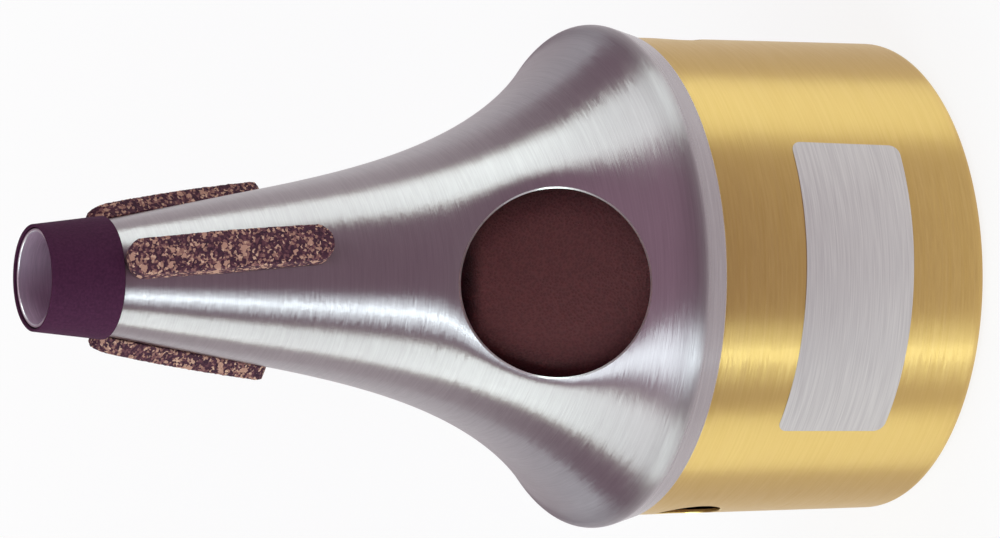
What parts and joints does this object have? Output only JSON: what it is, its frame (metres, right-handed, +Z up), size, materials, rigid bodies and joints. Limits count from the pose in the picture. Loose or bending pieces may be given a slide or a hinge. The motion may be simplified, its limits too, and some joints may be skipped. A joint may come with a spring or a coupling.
{
  "type": "trumpet bucket mute",
  "caption": "Bucket mute for a trumpet: a corked, flared aluminium cone with large side holes, pushed over a foam-lined brass bucket.",
  "frame": {"origin": "centre of the bucket's flat closed end", "axes": "+Z up the mute's axis to the small end; -Y through the middle of one large hole, +Y through the other"},
  "size_m": [0.1144, 0.1144, 0.2087],
  "materials": {
    "drawn_brass": "drawn brass, brushed and clear lacquered",
    "spun_aluminium": "spun aluminium, brushed round the axis",
    "black_rubber": "matte black rubber tube",
    "granulated_cork": "pressed cork granules, light on dark",
    "brown_foam": "dark brown open-cell sheet foam"
  },
  "bodies": {
    "bucket": {"bucket_cup": "drawn_brass", "foam_liner": "brown_foam", "foam_base_pad": "brown_foam"},
    "cone": {"cone_shell": "spun_aluminium", "neck_sleeve": "black_rubber", "cork_strip_1": "granulated_cork", "cork_strip_2": "granulated_cork", "cork_strip_3": "granulated_cork"}
  },
  "joints": [
    {"name": "cone_pull_off", "type": "slide", "parent": "bucket", "child": "cone", "axis": [0, 0, 1], "range_m": [0, 0.03]}
  ]
}
